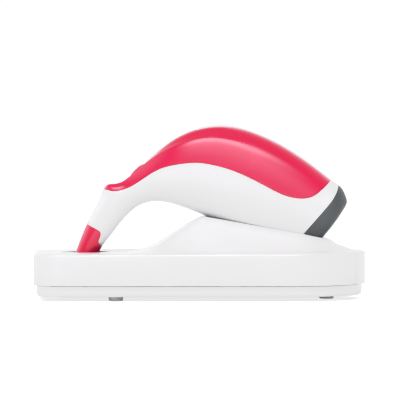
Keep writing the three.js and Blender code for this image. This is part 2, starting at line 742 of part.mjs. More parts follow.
class Helix extends THREE.Curve {
  constructor(radius, low, high, turns) {
    super();
    Object.assign(this, { radius, low, high, turns });
  }

  getPoint(t, target = new THREE.Vector3()) {
    const angle = 2 * Math.PI * this.turns * t;
    const z = this.low + (this.high - this.low) * t;
    return target.set(this.radius * Math.cos(angle), this.radius * Math.sin(angle), z);
  }
}

function springShape() {
  const wire = 0.4;
  const path = new Helix(4.6, SPRING_BOTTOM + wire, SPRING_TOP - wire, 2.5);
  const rim = new THREE.Shape().absarc(0, 0, wire, 0, 2 * Math.PI);
  const options = { extrudePath: path, steps: 44, curveSegments: 3, bevelEnabled: false };
  return new THREE.ExtrudeGeometry(rim, options);
}

function tileCarrier() {
  const cup = [
    [0, CARRIER_BOTTOM], [CARRIER_RADIUS, CARRIER_BOTTOM], [CARRIER_RADIUS, CARRIER_TOP],
    [TILE_RADIUS + GAP, CARRIER_TOP], [TILE_RADIUS + GAP, CARRIER_TOP - 2], [0, CARRIER_TOP - 2],
  ];
  return turned(cup, 28);
}

function calibrationWell() {
  const group = tipFrame();
  group.add(piece('tile_carrier', tileCarrier(), DARK_PLASTIC));
  group.add(piece('calibration_tile', bar(TILE_RADIUS, CARRIER_TOP - 1.9, CARRIER_TOP + 0.3, 28), CERAMIC));
  group.add(piece('carrier_spring', springShape(), STEEL));
  return group;
}

function base() {
  const group = new THREE.Group();
  group.add(piece('base_housing', baseHousing(), WHITE_GLOSS));
  group.add(piece('base_tray', baseTray(), WHITE_GLOSS));
  group.add(piece('well_insert', wellInsert(), DARK_PLASTIC));
  group.add(piece('ballast_plate', ballast(), STEEL));
  const board = block([-30, -26, POST_TOP + 0.1], [40, 42, POST_TOP + 1.7]);
  group.add(piece('charging_board', board, BOARD_GREEN));
  group.add(piece('power_socket', powerSocket(), DARK_PLASTIC));
  FOOT_SPOTS.forEach(([x, y], i) => {
    const top = TRAY_BOTTOM - 0.1;
    const foot = turned([[0, 0], [FOOT_RADIUS - 0.6, 0], [FOOT_RADIUS, 0.6], [FOOT_RADIUS, top], [0, top]]);
    group.add(piece(`foot_${i + 1}`, foot.translate(x, y, 0), RUBBER));
  });
  SCREW_SPOTS.forEach(([x, y], i) => {
    const screw = screwShape(2.8, 3.4, 5, 1.4, 17);
    group.add(piece(`tray_screw_${i + 1}`, screw.translate(x, y, 0), STEEL));
  });
  return group;
}

// ---- Assembly ----

const assembly = new THREE.Group();
assembly.add(casing(), buttonGroup(), displayGroup(), probe(), optics(), powerPack());
assembly.add(coil('receiving_coil', 31.8, 43.4, 5, 11, 1.4));
assembly.add(base(), calibrationWell());
assembly.add(coil('charging_coil', 29.2, 33, 5, 12, 1.6));

export default assembly;
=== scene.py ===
"""Looks of the hand-held dental shade meter on its charging base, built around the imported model."""
import json
import math

import bmesh
import bpy
import numpy as np
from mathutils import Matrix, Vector
from mathutils.bvhtree import BVHTree


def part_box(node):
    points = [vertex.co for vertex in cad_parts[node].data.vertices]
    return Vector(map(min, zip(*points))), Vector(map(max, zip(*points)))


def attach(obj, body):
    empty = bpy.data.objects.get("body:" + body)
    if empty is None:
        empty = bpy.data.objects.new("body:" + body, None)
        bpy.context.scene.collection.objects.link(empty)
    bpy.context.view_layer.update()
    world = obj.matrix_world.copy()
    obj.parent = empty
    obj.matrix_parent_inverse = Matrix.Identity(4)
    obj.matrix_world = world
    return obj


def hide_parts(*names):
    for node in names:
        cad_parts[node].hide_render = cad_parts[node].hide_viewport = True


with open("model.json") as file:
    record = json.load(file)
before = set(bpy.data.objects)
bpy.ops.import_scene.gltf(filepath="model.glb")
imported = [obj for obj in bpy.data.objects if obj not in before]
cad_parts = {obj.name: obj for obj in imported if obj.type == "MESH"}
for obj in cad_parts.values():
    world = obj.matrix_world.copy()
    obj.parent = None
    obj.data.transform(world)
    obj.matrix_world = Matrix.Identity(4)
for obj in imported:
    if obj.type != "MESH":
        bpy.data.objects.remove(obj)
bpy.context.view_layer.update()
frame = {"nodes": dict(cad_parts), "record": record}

# ---- Driving dimensions, in millimetres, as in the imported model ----

MM = 0.001
GAP = 0.06  # half of the joint line between neighbouring casing parts
LIP = 0.16  # rounding along a casing part's edge
WALL = 1.6

BASE_LOW, BASE_HIGH = (np.array(corner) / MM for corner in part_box("base_housing"))
BASE_LENGTH = BASE_HIGH[0] - BASE_LOW[0]
BASE_WIDTH = BASE_HIGH[1] - BASE_LOW[1]
SKIRT_BOTTOM = BASE_LOW[2]
BASE_TOP = 27.9
TOP_SLOPE = 0.0045  # the top rises slightly towards the rear
BASE_WALL = 2.5
BASE_ROUND = 1.5
LEFT_CORNER = 18.0
EDGE_ROUND = 0.3  # rounding of the smaller edges of the base
OUTLINE_SPAN = 60  # an edge loop longer than this is the outer one, not a hole
COLLAR_DEPTH = 8  # how far the lining of the well's opening goes down
TRAY_INSET = 1.9
TRAY_ROUND = 2.4
TRAY_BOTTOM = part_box("base_tray")[0][2] / MM
WELL_CENTRE = -67.0
WELL_RADIUS = 14.3
TIP_LEAN = math.radians(25)
TIP_END = (-69.5, 19.6)
SCREW_SPOTS = [(-80, -32), (-80, 32), (62, -36), (62, 36)]
SOCKET_X, SOCKET_Z = -20, 18.4
SOCKET_RADIUS = 3.6
SOCKET_FLARE = 0.35
BORE_SPAN = (36, 60)  # where the cut for the socket starts and ends, measured from the middle plane

SADDLE_FLAT = 16.0
SADDLE_MARGIN = 2.0
DOCK_CLEARANCE = 0.15
RIM_BLEND = 0.3  # rounding where the saddle meets the trough
SADDLE_PROFILE = [
    (-42, 0), (-31, 2), (-19, 8.6), (-3, 18.6), (2.5, 20.5), (8, 19.9),
    (36, 14.8), (71, 8.4), (80, 4), (91, 0),
]

# Cross-sections of the handpiece from its tip to the rear cap: top point, bottom point, half-width.
SECTIONS = [
    ((-73.9, 24.8), (-63, 20), 5.8),
    ((-70, 35.6), (-57.7, 30.2), 6.5),
    ((-64.7, 47.7), (-51.5, 38.4), 7.4),
    ((-59.6, 57.3), (-46.3, 45.2), 8.2),
    ((-56.9, 64.2), (-42.2, 49.7), 8.8),
    ((-54, 67.5), (-38.6, 52.9), 9.3),
    ((-48.5, 67.9), (-34.8, 55.3), 9.8),
    ((-43.3, 70.2), (-30.5, 56.7), 10.8),
    ((-37.5, 74.9), (-26, 57.4), 12.6),
    ((-29.5, 82.4), (-20, 56.8), 15.6),
    ((-19.5, 91.2), (-13, 55), 18.6),
    ((-8, 97.8), (-5.5, 52.3), 20.9),
    ((4, 101.3), (3, 48.9), 22.4),
    ((16, 101.8), (13, 44.4), 23),
    ((28, 99.3), (24, 39.9), 23),
    ((42, 93.7), (35, 35.6), 22.6),
    ((56, 85.8), (45, 32.5), 21.8),
    ((69, 76.6), (51, 31.2), 20.8),
    ((77.2, 70), (54, 30.9), 20.2),
    ((82, 66.7), (57, 30.7), 19.8),
    ((84.6, 63.6), (63.5, 30.4), 19.2),
    ((86, 60.4), (67.3, 31.4), 18.2),
    ((86.8, 57.6), (69.8, 33.4), 16.6),
    ((86.2, 55), (71.6, 35.3), 14.6),
]
LAST = len(SECTIONS) - 1
END_SCALES = (0.72, 0.36, 0.0)  # the end face closes in on its middle
END_DOME = 0.8

COVER_SEAM = [
    (-60, 65.1), (-54, 64), (-50.4, 63.4), (-45, 64.3), (-38, 67.6), (-29.2, 73.5), (-20, 77.8),
    (-8, 80), (2.6, 80), (16.7, 76.7), (30.8, 70.8), (44.9, 63.4), (53, 60.3), (59.1, 59.4),
    (65, 60.1), (70.5, 63.4), (76.9, 69.6), (80.5, 74.5),
]
CAP_SEAM = [(48, 23.2), (60.6, 38.1), (73.3, 52.8), (77.8, 58.3), (80.3, 62.5), (81.7, 67), (82.3, 72.5)]
COLLAR_SEAM = [
    (-69, 45.4), (-66, 43.8), (-59.8, 40.4), (-58.4, 39), (-58.2, 37.4), (-59.3, 34.4),
    (-59.2, 32.7), (-57.2, 31.1), (-53, 27.8),
]
RIDGE_HEIGHT = 0.85
RIDGE_WALL = 0.6  # width of the step at the ridge, which widens where the ridge fades out
RIDGE_SPREAD = 3.0
DECK_FLARE = 1.0  # how far the dished deck spreads on its way to the ridge
DISH_START = 0.45  # where the dish starts, as a part of the way from the middle line to the ridge

BUTTON_CENTRE = (-36.9, 75.6)
BUTTON_TILT = math.radians(-42)
BUTTON_HALF = (5.5, 4.2)
BUTTON_RISE = 1.2
DISPLAY_CENTRE = (-12.6, 95.1)
DISPLAY_TILT = math.radians(-29.2)
DISPLAY_HALF = (13.0, 7.5)
DISPLAY_CORNER = 2.5
DISPLAY_DEPTH = 0.45  # how far the glass lies below the casing round it


# ---- Curves ----

class Spline:
    """A natural cubic spline through points at whole-number parameters."""

    def __init__(self, points):
        self.points = np.array(points, dtype=float)
        count = len(self.points)
        matrix = np.eye(count)
        bend = np.zeros_like(self.points)
        for i in range(1, count - 1):
            matrix[i, i - 1:i + 2] = (1, 4, 1)
            bend[i] = 6 * (self.points[i - 1] - 2 * self.points[i] + self.points[i + 1])
        self.bend = np.linalg.solve(matrix, bend)

    def __call__(self, t):
        i = np.clip(np.floor(t).astype(int), 0, len(self.points) - 2)
        f = (t - i)[..., None]
        g = 1 - f
        ends = g * self.points[i] + f * self.points[i + 1]
        return ends + ((g**3 - g) * self.bend[i] + (f**3 - f) * self.bend[i + 1]) / 6


class SoftCurve:
    """A spline blurred along its length, so that its curvature changes gently."""
    STEPS = 40

    def __init__(self, points, blur, sharp_after=None):
        spline = Spline(points)
        self.t = np.linspace(0, len(points) - 1, (len(points) - 1) * self.STEPS + 1)
        exact = spline(self.t)
        reach = int(3 * blur * self.STEPS)
        weights = np.exp(-0.5 * (np.arange(-reach, reach + 1) / (blur * self.STEPS))**2)
        weights /= weights.sum()
        ahead = 2 * exact[-1] - exact[-reach - 1:-1][::-1]
        behind = 2 * exact[0] - exact[1:reach + 1][::-1]
        padded = np.concatenate([behind, exact, ahead])
        soft = np.stack([np.convolve(column, weights, "valid") for column in padded.T], axis=-1)
        keep = smooth(self.t, sharp_after - 1, sharp_after) if sharp_after else np.zeros_like(self.t)
        self.value = soft + (exact - soft) * keep[:, None]

    def __call__(self, t):
        return np.stack([np.interp(t, self.t, column) for column in self.value.T], axis=-1)


def smooth(x, low, high):
    t = np.clip((x - low) / (high - low), 0, 1)
    return t * t * (3 - 2 * t)


def side_curve(points, count=220):
    return Spline(points)(np.linspace(0, len(points) - 1, count))


def side_of(curve, xz):
    """Signed distance to a curve in side view, positive on the left of its direction."""
    start = curve[:-1]
    step = curve[1:] - start
    length = (step**2).sum(-1)
    result = np.empty(len(xz))
    for first in range(0, len(xz), 8000):
        block = xz[first:first + 8000, None, :] - start
        t = np.clip((block * step).sum(-1) / length, 0, 1)
        offset = block - t[..., None] * step
        square = (offset**2).sum(-1)
        nearest = square.argmin(1)
        row = np.arange(len(nearest))
        cross = step[nearest, 0] * block[row, nearest, 1] - step[nearest, 1] * block[row, nearest, 0]
        result[first:first + 8000] = np.sqrt(square[row, nearest]) * np.sign(cross)
    return result


# ---- Sheets: surfaces over a grid, cut along smooth outlines ----

def grid_quads(rows, columns, closed):
    """Corner numbers of the cells of a grid, whose last column may join its first."""
    cells = columns if closed else columns - 1
    a, b = np.meshgrid(np.arange(rows - 1), np.arange(cells), indexing="ij")
    a, b = a.ravel(), b.ravel()
    c = (b + 1) % columns
    near, far = a * columns, (a + 1) * columns
    return np.stack([near + b, far + b, far + c, near + c], axis=-1)


class Sheet:
    """A surface over whole-number grid places (i, j). It may close on itself along j."""

    def __init__(self, surface, rows, columns, closed, flip=False):
        self.surface = surface
        self.rows, self.columns, self.closed, self.flip = rows, columns, closed, flip

    def normals(self, i, j):
        d = 0.04
        along = self.surface(i + d, j) - self.surface(i - d, j)
        across = self.surface(i, j + d) - self.surface(i, j - d)
        normal = np.cross(along, across)
        normal /= np.maximum(np.linalg.norm(normal, axis=-1, keepdims=True), 1e-12)
        return -normal if self.flip else normal

    def cut(self, region):
        """The part of the sheet where region(points) is positive, its edge drawn onto the outline."""
        rows, columns = self.rows, self.columns
        i, j = np.meshgrid(np.arange(rows, dtype=float), np.arange(columns, dtype=float), indexing="ij")
        points = self.surface(i, j)
        inside = region(points.reshape(-1, 3)).reshape(rows, columns) > 0
        moves = [self._crossings(region, inside, axis) for axis in (0, 1)]
        spot = np.concatenate([m[0] for m in moves])
        cost = np.concatenate([m[1] for m in moves])
        shift = np.concatenate([m[2] for m in moves])
        order = np.argsort(-cost)
        moved = np.zeros(rows * columns, dtype=bool)
        offset = np.zeros((rows * columns, 2))
        moved[spot] = True
        offset[spot[order]] = shift[order]
        i = i.ravel() + offset[:, 0]
        j = j.ravel() + offset[:, 1]
        kept = inside.ravel() | moved
        points = points.reshape(-1, 3).copy()
        points[moved] = self.surface(i[moved], j[moved])
        faces = self._faces(points, kept, moved, region)
        return self._compact(points, i, j, faces)

    def _crossings(self, region, inside, axis):
        shape = inside.shape
        wraps = axis == 1 and self.closed
        nxt = np.roll(inside, -1, axis)
        cross = inside != nxt
        if not wraps:
            cross[(-1 if axis == 0 else slice(None)), (slice(None) if axis == 0 else -1)] = False
        a, b = np.nonzero(cross)
        da, db = (1, 0) if axis == 0 else (0, 1)
        low = np.zeros(len(a))
        high = np.ones(len(a))
        start = inside[a, b]
        for _ in range(16):
            middle = (low + high) / 2
            same = (region(self.surface(a + middle * da, b + middle * db)) > 0) == start
            low = np.where(same, middle, low)
            high = np.where(same, high, middle)
        t = (low + high) / 2
        near = t < 0.5
        row = a + np.where(near, 0, da)
        column = (b + np.where(near, 0, db)) % shape[1]
        move = np.where(near, t, t - 1)
        shift = np.stack([move * da, move * db], axis=-1)
        return row * shape[1] + column, np.abs(move), shift

    def _faces(self, points, kept, moved, region):
        quad = grid_quads(self.rows, self.columns, self.closed)
        held = kept[quad].sum(1)
        edge = moved[quad].sum(1)
        full = quad[(held == 4) & (edge < 3)]
        doubtful = quad[(held == 4) & (edge >= 3)]
        if len(doubtful):
            doubtful = doubtful[region(points[doubtful].mean(1)) > 0]
        part = quad[(held == 3) & (edge >= 2)]
        triangles = []
        for corner in range(4):
            hit = part[~kept[part[:, corner]]]
            triangles.append(np.stack([hit[:, (corner + k) % 4] for k in (1, 2, 3)], axis=-1))
        triangles = np.concatenate(triangles)
        if len(triangles):
            triangles = triangles[region(points[triangles].mean(1)) > 0]
        faces = [list(f) for f in full] + [list(f) for f in doubtful] + [list(f) for f in triangles]
        return [f[::-1] for f in faces] if self.flip else faces

    def _compact(self, points, i, j, faces):
        used = np.unique(np.concatenate([np.array(f) for f in faces]))
        new = np.full(len(points), -1)
        new[used] = np.arange(len(used))
        return Patch(points[used], self.normals(i[used], j[used]), [[int(new[v]) for v in f] for f in faces])


class Patch:
    """Points, outward normals and faces of an open skin."""

    def __init__(self, points, normals, faces):
        self.points, self.normals, self.faces = points, normals, faces

    def loops(self):
        ahead = {}
        edges = {(f[k], f[(k + 1) % len(f)]) for f in self.faces for k in range(len(f))}
        for a, b in edges:
            if (b, a) not in edges:
                ahead[a] = b
        found = []
        while ahead:
            loop = [next(iter(sorted(ahead)))]
            while loop[-1] in ahead:
                loop.append(ahead.pop(loop[-1]))
            found.append(np.array(loop[:-1]))
        return sorted(found, key=len, reverse=True)

    def shell(self, wall, profile_of):
        """A closed solid: this skin, a shaped edge around each opening and an inner skin."""
        count = len(self.points)
        points = [self.points, self.points - self.normals * wall]
        faces = list(self.faces) + [[v + count for v in f[::-1]] for f in self.faces]
        total = 2 * count
        for loop in self.loops():
            p, n = self.points[loop], self.normals[loop]
            tangent = sum(np.roll(p, -k, 0) - np.roll(p, k, 0) for k in (1, 2, 3))
            out = np.cross(tangent, n)
            out /= np.maximum(np.linalg.norm(out, axis=-1, keepdims=True), 1e-12)
            rows = [loop]
            for aside, down in profile_of(p):
                points.append(p + out * aside - n * down)
                rows.append(np.arange(total, total + len(loop)))
                total += len(loop)
            rows.append(loop + count)
            for near, far in zip(rows, rows[1:]):
                for k in range(len(loop)):
                    m = (k + 1) % len(loop)
                    faces.append([int(near[m]), int(near[k]), int(far[k]), int(far[m])])
        return np.concatenate(points), faces


def quarter_round(radius, steps=4):
    angles = [math.pi / 2 * k / steps for k in range(1, steps + 1)]
    return [(radius * math.sin(a), radius * (1 - math.cos(a))) for a in angles]


def lip_profile(wall, radius=LIP):
    return lambda p: quarter_round(radius) + [(radius, wall)]


def make_object(name, points, faces, material):
    mesh = bpy.data.meshes.new(name)
    mesh.from_pydata([tuple(p) for p in np.asarray(points) * MM], [], faces)
    mesh.validate()
    mesh.shade_smooth()
    mesh.set_sharp_from_angle(angle=math.radians(50))
    mesh.materials.append(material)
    obj = bpy.data.objects.new(name, mesh)
    bpy.context.scene.collection.objects.link(obj)
    return obj


def finish_piece(obj, body, slot, *nodes):
    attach(obj, body)
    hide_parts(*nodes)
    return obj


# ---- Materials ----

class Nodes:
    """A small builder for a material's node tree."""

    def __init__(self, name):
        self.material = bpy.data.materials.new(name)
        self.material.use_nodes = True
        self.tree = self.material.node_tree
        self.shader = self.tree.nodes["Principled BSDF"]
        self.place = self.add("ShaderNodeTexCoord").outputs["Object"]

    def add(self, kind, **settings):
        node = self.tree.nodes.new(kind)
        for key, value in settings.items():
            setattr(node, key, value)
        return node

    def link(self, source, target):
        self.tree.links.new(source, target)

    def noise(self, scale, detail=3.0, stretch=None):
        place = self.place
        if stretch:
            mapping = self.add("ShaderNodeMapping")
            mapping.inputs["Scale"].default_value = stretch
            self.link(place, mapping.inputs["Vector"])
            place = mapping.outputs["Vector"]
        node = self.add("ShaderNodeTexNoise")
        node.inputs["Scale"].default_value = scale
        node.inputs["Detail"].default_value = detail
        self.link(place, node.inputs["Vector"])
        return node.outputs["Fac"]

    def remap(self, source, low, high, out_low, out_high):
        node = self.add("ShaderNodeMapRange", interpolation_type="SMOOTHSTEP")
        for key, value in zip(("From Min", "From Max", "To Min", "To Max"), (low, high, out_low, out_high)):
            node.inputs[key].default_value = value
        self.link(source, node.inputs["Value"])
        return node.outputs["Result"]

    def mix(self, factor, first, second):
        node = self.add("ShaderNodeMix", data_type="RGBA")
        self.link(factor, node.inputs["Factor"])
        for socket, value in (("A", first), ("B", second)):
            target = next(s for s in node.inputs if s.name == socket and s.type == "RGBA")
            if isinstance(value, tuple):
                target.default_value = value
            else:
                self.link(value, target)
        return next(s for s in node.outputs if s.type == "RGBA")

    def set(self, **values):
        for key, value in values.items():
            target = self.shader.inputs[key.replace("_", " ")]
            if hasattr(value, "is_output"):
                self.link(value, target)
            else:
                target.default_value = value

    def bump(self, height, strength, distance):
        node = self.add("ShaderNodeBump")
        node.inputs["Strength"].default_value = strength
        node.inputs["Distance"].default_value = distance
        self.link(height, node.inputs["Height"])
        self.link(node.outputs["Normal"], self.shader.inputs["Normal"])

    def edges(self, low=0.53, high=0.62):
        node = self.add("ShaderNodeNewGeometry")
        return self.remap(node.outputs["Pointiness"], low, high, 0.0, 1.0)


def shade(colour, factor):
    return tuple(min(c * factor, 1.0) for c in colour[:3]) + (1.0,)


def moulded(name, colour, roughness, grain=0.02, coat=0.0, vary=0.03, edge_paling=1.06, metallic=0.0):
    """Moulded or machined finish: drifting tone, uneven sheen, fine grain and paler edges."""
    n = Nodes(name)
    tone = n.remap(n.noise(28.0), 0.2, 0.8, 0.0, 1.0)
    body = n.mix(tone, shade(colour, 1 - vary), shade(colour, 1 + vary))
    # Colour is made paler on sharp convex edges, found by pointiness, by the given factor.
    edge = n.edges()
    n.set(Base_Color=n.mix(edge, body, shade(colour, edge_paling)), Metallic=metallic)
    n.set(Roughness=n.remap(n.noise(40.0, 1.0), 0.2, 0.8, roughness * 0.92, roughness * 1.08))
    n.set(Coat_Weight=coat, Coat_Roughness=0.1)
    n.bump(n.noise(2600.0, 1.0), grain, 0.0001)
    return n.material


def brushed(name, colour, roughness):
    n = Nodes(name)
    streak = n.noise(240.0, 4.0, (1.0, 1.0, 14.0))
    n.set(Base_Color=n.mix(streak, shade(colour, 0.88), shade(colour, 1.06)), Metallic=1.0)
    n.set(Roughness=n.remap(streak, 0.3, 0.7, roughness * 0.7, roughness * 1.3))
    n.bump(streak, 0.1, 0.0003)
    return n.material


def circuit(name):
    n = Nodes(name)
    tracks = n.add("ShaderNodeTexBrick")
    n.link(n.place, tracks.inputs["Vector"])
    tracks.inputs["Scale"].default_value = 180.0
    tracks.inputs["Mortar Size"].default_value = 0.05
    mask = n.remap(tracks.outputs["Fac"], 0.0, 1.0, 0.0, 1.0)
    n.set(Base_Color=n.mix(mask, (0.012, 0.10, 0.045, 1), (0.05, 0.22, 0.10, 1)), Roughness=0.38)
    n.bump(mask, 0.25, 0.0002)
    return n.material


def windings(name):
    n = Nodes(name)
    rings = n.add("ShaderNodeTexWave", wave_type="RINGS", rings_direction="SPHERICAL")
    n.link(n.place, rings.inputs["Vector"])
    rings.inputs["Scale"].default_value = 700.0
    n.set(Base_Color=n.mix(rings.outputs["Fac"], (0.30, 0.10, 0.03, 1), (0.80, 0.36, 0.14, 1)))
    n.set(Metallic=1.0, Roughness=0.35)
    n.bump(rings.outputs["Fac"], 0.4, 0.0002)
    return n.material


def speckled(name, colour, roughness):
    """Rubber or glaze with a fine speckle."""
    n = Nodes(name)
    speck = n.remap(n.noise(2200.0, 1.0), 0.55, 0.7, 0.0, 1.0)
    n.set(Base_Color=n.mix(speck, colour, shade(colour, 0.93)))
    n.set(Roughness=n.remap(n.noise(300.0), 0.3, 0.7, roughness * 0.9, roughness * 1.1))
    n.bump(n.noise(900.0, 4.0), 0.12, 0.0003)
    return n.material


def display_glass(name):
    n = Nodes(name)
    smudge = n.remap(n.noise(120.0, 5.0), 0.45, 0.75, 0.03, 0.11)
    n.set(Base_Color=n.mix(n.noise(30.0), (0.006, 0.007, 0.009, 1), (0.012, 0.012, 0.015, 1)))
    n.set(Roughness=smudge, Coat_Weight=0.6, IOR=1.5)
    return n.material


WHITE = (0.69, 0.684, 0.696, 1)
RED = (0.63, 0.008, 0.066, 1)
MATERIALS = {
    "white_gloss": moulded("white_gloss", WHITE, 0.32, coat=0.3, vary=0.008, edge_paling=1.03),
    "red_gloss": moulded("red_gloss", RED, 0.28, coat=0.6, vary=0.03, edge_paling=1.12),
    "grey_satin": moulded("grey_satin", (0.076, 0.083, 0.087, 1), 0.46, grain=0.08, vary=0.05, edge_paling=1.3),
    "dark_plastic": moulded("dark_plastic", (0.03, 0.032, 0.036, 1), 0.45, grain=0.08, vary=0.08, edge_paling=1.5),
    "frame_plastic": moulded("frame_plastic", (0.05, 0.055, 0.06, 1), 0.55, grain=0.1, vary=0.08, edge_paling=1.4),
    "glass_black": display_glass("glass_black"),
    "ceramic": speckled("ceramic", (0.84, 0.83, 0.78, 1), 0.14),
    "rubber": speckled("rubber", (0.8, 0.8, 0.81, 1), 0.7),
    "board_green": circuit("board_green"),
    "steel": brushed("steel", (0.55, 0.56, 0.58), 0.3),
    "aluminium": brushed("aluminium", (0.62, 0.63, 0.65), 0.36),
    "copper": windings("copper"),
    "cell_sleeve": moulded("cell_sleeve", (0.04, 0.12, 0.27, 1), 0.35, coat=0.3, vary=0.06, edge_paling=1.2),
}

for part in frame["record"]["subparts"]:
    mesh = frame["nodes"][part["node"]].data
    mesh.materials.clear()
    mesh.materials.append(MATERIALS[part["material_slot"]])


# ---- Handpiece surface ----

def end_sections():
    """Stations that close the rear end: the last section shrinking about its middle."""
    top, bottom, width = (np.array(v, dtype=float) for v in SECTIONS[-1])
    middle = (top + bottom) / 2
    up = (top - bottom) / np.linalg.norm(top - bottom)
    outward = np.array([up[1], -up[0]])
    for scale in END_SCALES:
        centre = middle + outward * END_DOME * (1 - scale**2)
        yield centre + (top - middle) * scale, centre + (bottom - middle) * scale, width * scale


STATIONS = SECTIONS + list(end_sections())
BLUR = 0.28
TOP = SoftCurve([s[0] for s in STATIONS], BLUR, sharp_after=LAST + 1)
BOTTOM = SoftCurve([s[1] for s in STATIONS], BLUR, sharp_after=LAST + 1)
WIDTH = SoftCurve([[s[2]] for s in STATIONS], BLUR, sharp_after=LAST + 1)

ROWS_PER_STATION = 14
HAND_ROWS = (len(STATIONS) - 1) * ROWS_PER_STATION + 1
DECK_CELLS = 26
SIDE_CELLS = 70
HAND_COLUMNS = 2 * (DECK_CELLS + SIDE_CELLS)


def ridge_angle(station):
    """How far round from the deck's middle line the ridge runs: it widens, then closes in again."""
    widening = 5 * smooth(station, 6, 9.5) + 15.5 * smooth(station, 8.3, 11)
    return np.radians(24 + widening - 6 * smooth(station, 11, 14))


def ridge_strength(station):
    """How much of its full height the ridge has: it grows along the neck and fades on the body."""
    growth = 0.5 * smooth(station, 3.6, 5) + 0.5 * smooth(station, 5.5, 9)
    return growth * (1 - smooth(station, 11, 14.4))


def column_angle(station, j):
    """Angle round the section: finely spaced on both sides of the ridge line."""
    j = np.mod(j, HAND_COLUMNS)
    half = HAND_COLUMNS / 2
    side = np.where(j < half, 1.0, -1.0)
    k = np.where(j < half, j, HAND_COLUMNS - j)
    ridge = ridge_angle(station)
    deck = ridge * (1 - np.clip(1 - k / DECK_CELLS, 0, 1)**1.6)
    flank = ridge + (math.pi - ridge) * np.clip((k - DECK_CELLS) / SIDE_CELLS, 0, 1)**1.5
    return side * np.where(k < DECK_CELLS, deck, flank)


def deck_flatness(station):
    """How much of the deck's crown is taken away beside the display."""
    return 0.5 * smooth(station, 8.6, 9.8) * (1 - smooth(station, 12.2, 14))


FLAT_DECK = (math.radians(18), math.radians(36))


def hand_surface(station, angle):
    top, bottom = TOP(station), BOTTOM(station)
    held = np.minimum(station, LAST)
    up = TOP(held) - BOTTOM(held)
    up /= np.linalg.norm(up, axis=-1, keepdims=True)
    height = ((top - bottom) * up).sum(-1) / 2
    width = WIDTH(station)[..., 0]
    bent = np.abs(angle)
    ridge = ridge_angle(station)
    power = 2 / (2 + 0.3 * smooth(station, 6, 11))
    reach = (bent - ridge) * np.maximum(width, 1)
    fall = 1 - smooth(bent, ridge, math.pi / 2)
    wall = RIDGE_WALL + RIDGE_SPREAD * smooth(station, 11.5, 14)
    dish = np.clip((bent / ridge - DISH_START) / (1 - DISH_START), 0, 1)**2
    rise = RIDGE_HEIGHT * smooth(reach, 0, wall) + DECK_FLARE * dish
    lift = ridge_strength(station) * rise * fall
    across = (width + lift) * np.abs(np.sin(bent))**power * np.sign(angle)
    along = (height + lift) * np.abs(np.cos(bent))**power * np.sign(np.cos(bent))
    crown = height - along
    along = along + crown * deck_flatness(station) * (1 - smooth(bent, *FLAT_DECK))
    centre = (top + bottom) / 2 + up * along[..., None]
    return np.stack([centre[..., 0], across, centre[..., 1]], axis=-1)


def hand_grid(i, j):
    station = np.asarray(i, dtype=float) / ROWS_PER_STATION
    return hand_surface(station, column_angle(station, j))


HAND = Sheet(hand_grid, HAND_ROWS, HAND_COLUMNS, closed=True)
COVER_LINE = side_curve(COVER_SEAM)
CAP_LINE = side_curve(CAP_SEAM)
COLLAR_LINE = side_curve(COLLAR_SEAM)
EDGE = GAP + LIP
FAR_OUTSIDE = 50.0  # distance given to places on the other side of the casing


def local(points, centre, tilt):
    """Places in a frame that lies on the casing: along, across and above."""
    x = points[:, 0] - centre[0]
    z = points[:, 2] - centre[1]
    along = x * math.cos(tilt) - z * math.sin(tilt)
    above = x * math.sin(tilt) + z * math.cos(tilt)
    return along, points[:, 1], above


def display_distance(points):
    """Signed distance to the display's rounded outline, positive outside it."""
    along, across, above = local(points, DISPLAY_CENTRE, DISPLAY_TILT)
    x = np.abs(along) - DISPLAY_HALF[0] + DISPLAY_CORNER
    y = np.abs(across) - DISPLAY_HALF[1] + DISPLAY_CORNER
    outside = np.hypot(np.maximum(x, 0), np.maximum(y, 0)) + np.minimum(np.maximum(x, y), 0)
    return np.where(above > -12, outside - DISPLAY_CORNER, FAR_OUTSIDE)


def button_distance(points):
    along, across, above = local(points, BUTTON_CENTRE, BUTTON_TILT)
    ratio = np.hypot(along / BUTTON_HALF[0], across / BUTTON_HALF[1])
    return np.where(above > -8, (ratio - 1) * min(BUTTON_HALF), FAR_OUTSIDE)


def cover_region(points):
    xz = points[:, [0, 2]]
    seams = np.minimum(side_of(COVER_LINE, xz), side_of(CAP_LINE, xz))
    holes = np.minimum(display_distance(points), button_distance(points))
    return np.minimum(seams, holes) - EDGE


def body_region(points):
    xz = points[:, [0, 2]]
    edges = [-side_of(COVER_LINE, xz), side_of(CAP_LINE, xz), side_of(COLLAR_LINE, xz)]
    return np.minimum.reduce(edges) - EDGE


def collar_region(points):
    return -side_of(COLLAR_LINE, points[:, [0, 2]]) - EDGE


def cap_region(points):
    return -side_of(CAP_LINE, points[:, [0, 2]]) - EDGE


def casing_part(name, region, slot):
    points, faces = HAND.cut(region).shell(WALL, lip_profile(WALL))
    obj = make_object(name + "_skin", points, faces, MATERIALS[slot])
    merge_pole(obj)
    return finish_piece(obj, "handpiece", slot, name)


def merge_pole(obj):
    """Joins the points that meet at the middle of the end face."""
    work = bmesh.new()
    work.from_mesh(obj.data)
    bmesh.ops.remove_doubles(work, verts=work.verts, dist=1e-6)
    work.to_mesh(obj.data)
    work.free()


def casing():
    casing_part("top_cover", cover_region, "red_gloss")
    casing_part("body_shell", body_region, "white_gloss")
    casing_part("tip_collar", collar_region, "red_gloss")
    casing_part("rear_cap", cap_region, "grey_satin")


